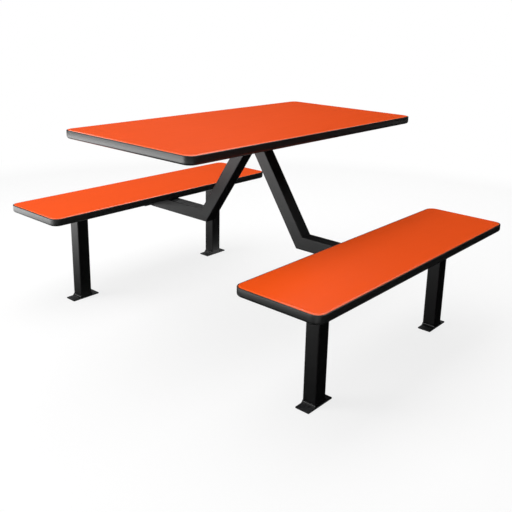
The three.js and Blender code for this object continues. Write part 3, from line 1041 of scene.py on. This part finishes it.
def set_camera(scene, studio):
    camera = link("camera", bpy.data.cameras.new("camera"))
    camera.location = studio.camera_place
    camera.rotation_euler = studio.camera_turn
    camera.data.sensor_width = 36.0
    camera.data.lens = studio.focal_pixels * camera.data.sensor_width / PHOTO_SIDE
    camera.data.shift_x = (PHOTO_SIDE / 2 - studio.middle[0]) / PHOTO_SIDE
    camera.data.shift_y = (studio.middle[1] - PHOTO_SIDE / 2) / PHOTO_SIDE
    camera.data.clip_end = 100.0
    scene.camera = camera


def set_world(scene, studio):
    """Light from all round, and plain white where the background shows."""
    scene.world = bpy.data.worlds.new("studio_air")
    finish = Finish(scene.world)
    light, white = (finish.white(strength, "ShaderNodeBackground") for strength in (studio.ambient, 1.0))
    finish.end_mixed(finish.seen(), light, white, "ShaderNodeOutputWorld")


def set_floor(studio):
    """A wide pale disc that turns to plain white away from the object."""
    build = bmesh.new()
    bmesh.ops.create_circle(build, cap_ends=True, segments=DISC_SIDES, radius=40.0)
    floor = link("floor", as_mesh(build))
    finish = new_finish("pale_floor")
    place = finish.place()
    shade = finish.shades(finish.noise(place, 1.5), studio.floor, 0.985, 1.015)
    matt = finish.node("ShaderNodeBsdfDiffuse", inputs={"Color": shade})
    away = finish.node("ShaderNodeVectorMath", {"operation": "LENGTH"}, {0: place}, output="Value")
    share = finish.between(away, 1.4, 3.2).larger(studio.floor_lift) * finish.seen()
    finish.end_mixed(share, matt, finish.white(1.0))
    floor.data.materials.append(finish.owner)


def add_light(name, place, target, width, height, strength):
    """A light of a given radiance that looks at a target and isn't seen, not in reflections either."""
    light = link(name, bpy.data.lights.new(name, "AREA"))
    light.data.shape = "RECTANGLE"
    light.data.size = width
    light.data.size_y = height
    light.data.energy = strength * math.pi * width * height
    light.location = place
    light.rotation_euler = (Vector(target) - Vector(place)).to_track_quat("-Z", "Z").to_euler()
    light.visible_camera = False
    light.visible_glossy = False


def set_lights(studio):
    add_light(
        "ceiling", place=(-0.1, 0.4, 3.2), target=(-0.1, 0.4, 0.0), width=6.8, height=2.2,
        strength=studio.ceiling_strength,
    )
    add_light(
        "key_light", place=(-2.6, 1.9, 2.3), target=(0.0, 0.0, 0.5), width=1.7, height=1.7,
        strength=studio.key_strength,
    )


def card_mesh(corner, width, depth):
    corner, width, depth = Vector(corner), Vector(width), Vector(depth)
    build = bmesh.new()
    places = (corner, corner + width, corner + width + depth, corner + depth)
    build.faces.new([build.verts.new(place) for place in places])
    return as_mesh(build)


def wall_mesh(radius, height, lift):
    """A closed drum round the object."""
    build = bmesh.new()
    bmesh.ops.create_cone(build, segments=DISC_SIDES, radius1=radius, radius2=radius, depth=height)
    bmesh.ops.translate(build, vec=(0, 0, height / 2 + lift), verts=build.verts)
    return as_mesh(build)


def add_card(name, mesh, direction, span, glow):
    """A card seen in reflections alone. Its glow changes from one strength to another over a span."""
    finish = new_finish(name)
    aim = {0: finish.place(), 1: direction}
    distance = finish.node("ShaderNodeVectorMath", {"operation": "DOT_PRODUCT"}, aim, output="Value")
    first, last = (finish.white(strength) for strength in glow)
    finish.end_mixed(finish.between(distance, *span), first, last)
    mesh.materials.append(finish.owner)
    card = link(name, mesh)
    for ray in ("camera", "diffuse", "shadow", "transmission"):
        setattr(card, f"visible_{ray}", False)


def set_cards(studio):
    """What only reflections show: dark walls, a dark cloth, a bright card, a window and three strips."""
    walls = wall_mesh(radius=5.0, height=4.6, lift=0.01)
    add_card("reflected_walls", walls, direction=(-0.3, 1.0, 0.0), span=(0.0, 5.0), glow=(0.01, 0.06))
    cloth = card_mesh(corner=(-1.0, -4.0, 0.0005), width=(5.0, 0, 0), depth=(0, 4.5, 0))
    add_card("reflected_cloth", cloth, direction=UP, span=(0.0, 1.0), glow=(0.006, 0.006))
    bright = studio.card_strength
    away = Vector((-0.719, 0.636, 0))
    aside = Vector((0.636, 0.719, 0))
    card = card_mesh(corner=away * 0.2 - aside * 1.8 + UP * 0.0004, width=aside * 3.6, depth=away * 4.4)
    add_card("reflected_card", card, direction=away, span=(0.8, 3.0), glow=(0.1, bright))
    window = card_mesh(corner=(-4.5, 0.5, 0.01), width=(1.7, 3.4, 0), depth=(0, 0, 1.3))
    add_card("reflected_window", window, direction=UP, span=(0.0, 2.4), glow=(0.5 * bright, 0.25 * bright))
    dim = studio.strip_strength
    for place, corner, width, depth in (
        ("left", (1.2, -0.3, 3.15), 3.1, 1.5),
        ("far", (2.9, -0.5, 3.15), 1.0, 1.2),
        ("back", (-0.6, 3.4, 3.15), 0.9, 1.8),
    ):
        strip = card_mesh(corner, ACROSS * width, ALONG * depth)
        add_card(f"reflected_strip_{place}", strip, ACROSS, span=(0.9, 2.3), glow=(dim, 1.8 * dim))


# Operators


class CANTEEN_OT_finishes(bpy.types.Operator):
    """Make every finish"""

    bl_idname = "canteen.finishes"
    bl_label = "Finishes"

    def execute(self, context):
        scene = context.scene
        for make_finish in (laminate_finish, edge_finish, board_finish, backing_finish, plug_finish):
            make_finish(scene.canteen_tops)
        coat_finish(scene.canteen_steel)
        zinc_finish(scene.canteen_fixings)
        return {"FINISHED"}


class CANTEEN_OT_stage(bpy.types.Operator):
    """Set up the camera, the lights, the floor and the cards"""

    bl_idname = "canteen.stage"
    bl_label = "Stage"

    def execute(self, context):
        scene = context.scene
        studio = scene.canteen_studio
        scene.view_settings.view_transform = "Standard"
        set_camera(scene, studio)
        set_world(scene, studio)
        set_floor(studio)
        set_lights(studio)
        set_cards(studio)
        return {"FINISHED"}


class CANTEEN_OT_tops(bpy.types.Operator):
    """Make the table top and the seats: board, rolled laminate, moulded edge and backing sheet"""

    bl_idname = "canteen.tops"
    bl_label = "Tops"

    def execute(self, context):
        for kind, suffix in TOPS:
            shape = TopShape(context.scene.canteen_tops, kind, suffix)
            laminate = shape.carried(shape.laminate(), capped=True)
            moulding = shape.carried(shape.moulding(), capped=False)
            board = shape.carried(shape.board(), capped=True)
            shape.mark_rim(laminate)
            for part, mesh, finish, slot in (
                ("laminate", laminate, "orange_laminate", "laminate"),
                ("edge_moulding", moulding, "black_edge", "edge"),
                ("core_board", board, "chip_board", "core"),
            ):
                piece(f"{kind}_{part}_finished{suffix}", mesh, finish, (f"{kind}_{part}{suffix}",))
            dress(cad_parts[f"{kind}_backing_sheet{suffix}"].data, "grey_backing")
        return {"FINISHED"}


class CANTEEN_OT_legs(bpy.types.Operator):
    """Make the legs and their foot plates"""

    bl_idname = "canteen.legs"
    bl_label = "Legs and feet"

    def execute(self, context):
        steel = context.scene.canteen_steel
        for corner in CORNERS:
            leg = f"leg_{corner}"
            foot = f"foot_plate_{corner}"
            coated(leg, straight_tube(leg, UP, steel.tube_round, steel.wall))
            coated(foot, foot_mesh(foot, leg, steel))
        return {"FINISHED"}


class CANTEEN_OT_arms(bpy.types.Operator):
    """Make the cranked arms with their end plates"""

    bl_idname = "canteen.arms"
    bl_label = "Arms"

    def execute(self, context):
        steel = context.scene.canteen_steel
        for side in SIDES:
            shape = ArmShape(side)
            coated(shape.level, shape.level_mesh(steel))
            coated(shape.rise, shape.rise_mesh(steel))
            coated(shape.plate, eased_copy(shape.plate, steel.easing))
        return {"FINISHED"}


class CANTEEN_OT_rails(bpy.types.Operator):
    """Make the rails, bars, straps, apex plate and end plugs under the tops"""

    bl_idname = "canteen.rails"
    bl_label = "Rails and bars"

    def execute(self, context):
        steel = context.scene.canteen_steel
        coated("table_rail", straight_tube("table_rail", ALONG, steel.tube_round, steel.wall))
        for rail in (f"bench_rail_{side}" for side in SIDES):
            coated(rail, straight_tube(rail, ALONG, steel.rail_round, steel.wall))
        bars = [f"table_cross_bar_{end}" for end in ENDS]
        straps = [f"seat_strap_{corner}" for corner in CORNERS]
        for bar in ("apex_plate", *bars, *straps):
            coated(bar, eased_copy(bar, steel.easing))
        for plug in (f"rail_end_plug_{end}" for end in ENDS):
            piece(f"{plug}_moulded", eased_copy(plug, steel.easing), "black_plug", (plug,))
        return {"FINISHED"}


class CANTEEN_OT_welds(bpy.types.Operator):
    """Lay the weld beads of the frame"""

    bl_idname = "canteen.welds"
    bl_label = "Welds"

    def execute(self, context):
        steel = context.scene.canteen_steel
        ripple = (RIPPLE_LENGTH * steel.bead_pitch, steel.bead_width, steel.bead_width)
        mesh = grown("weld_beads", lines_mesh(weld_lines(steel)), weld_tree(), {
            "Pitch": steel.bead_pitch, "Size": ripple, "Finish": finish_named(COAT),
        })
        piece("weld_beads", mesh, COAT, ())
        return {"FINISHED"}


class CANTEEN_OT_fixings(bpy.types.Operator):
    """Set the screws, bolts and nuts"""

    bl_idname = "canteen.fixings"
    bl_label = "Fixings"

    def execute(self, context):
        fixings = context.scene.canteen_fixings
        tree = fixing_tree()
        seat_screws = [f"seat_screw_{corner}_{row}" for corner in CORNERS for row in ("inner", "outer")]
        table_screws = [f"table_screw_{end}_{side}" for end in ENDS for side in SIDES]
        set_screws(fixings, "seat_screws", seat_screws, "seat_strap_left_near", tree)
        set_screws(fixings, "table_screws", table_screws, "table_cross_bar_near", tree)
        for side in SIDES:
            set_bolts(fixings, side, tree)
        return {"FINISHED"}


OPERATORS = (
    CANTEEN_OT_finishes,
    CANTEEN_OT_stage,
    CANTEEN_OT_tops,
    CANTEEN_OT_legs,
    CANTEEN_OT_arms,
    CANTEEN_OT_rails,
    CANTEEN_OT_welds,
    CANTEEN_OT_fixings,
)


class CANTEEN_PT_looks(bpy.types.Panel):
    """The table's sizes, colours and pieces"""

    bl_idname = "CANTEEN_PT_looks"
    bl_label = "Canteen table"
    bl_space_type = "VIEW_3D"
    bl_region_type = "UI"
    bl_category = "Canteen"

    def draw(self, context):
        layout = self.layout
        for operator in OPERATORS:
            layout.operator(operator.bl_idname)
        for group in GROUPS:
            values = getattr(context.scene, group)
            column = layout.column(align=True)
            for name in values.bl_rna.properties.keys():
                if name not in ("rna_type", "name"):
                    column.prop(values, name)


CLASSES = (*GROUPS.values(), *OPERATORS, CANTEEN_PT_looks)


def register():
    for item in CLASSES:
        bpy.utils.register_class(item)
    for name, group in GROUPS.items():
        setattr(bpy.types.Scene, name, PointerProperty(type=group))


def unregister():
    for name in GROUPS:
        delattr(bpy.types.Scene, name)
    for item in reversed(CLASSES):
        bpy.utils.unregister_class(item)


def main():
    register()
    bpy.ops.canteen.finishes()
    bpy.ops.canteen.stage()
    bpy.ops.canteen.tops()
    bpy.ops.canteen.legs()
    bpy.ops.canteen.arms()
    bpy.ops.canteen.rails()
    bpy.ops.canteen.welds()
    bpy.ops.canteen.fixings()


if __name__ == "__main__":
    main()
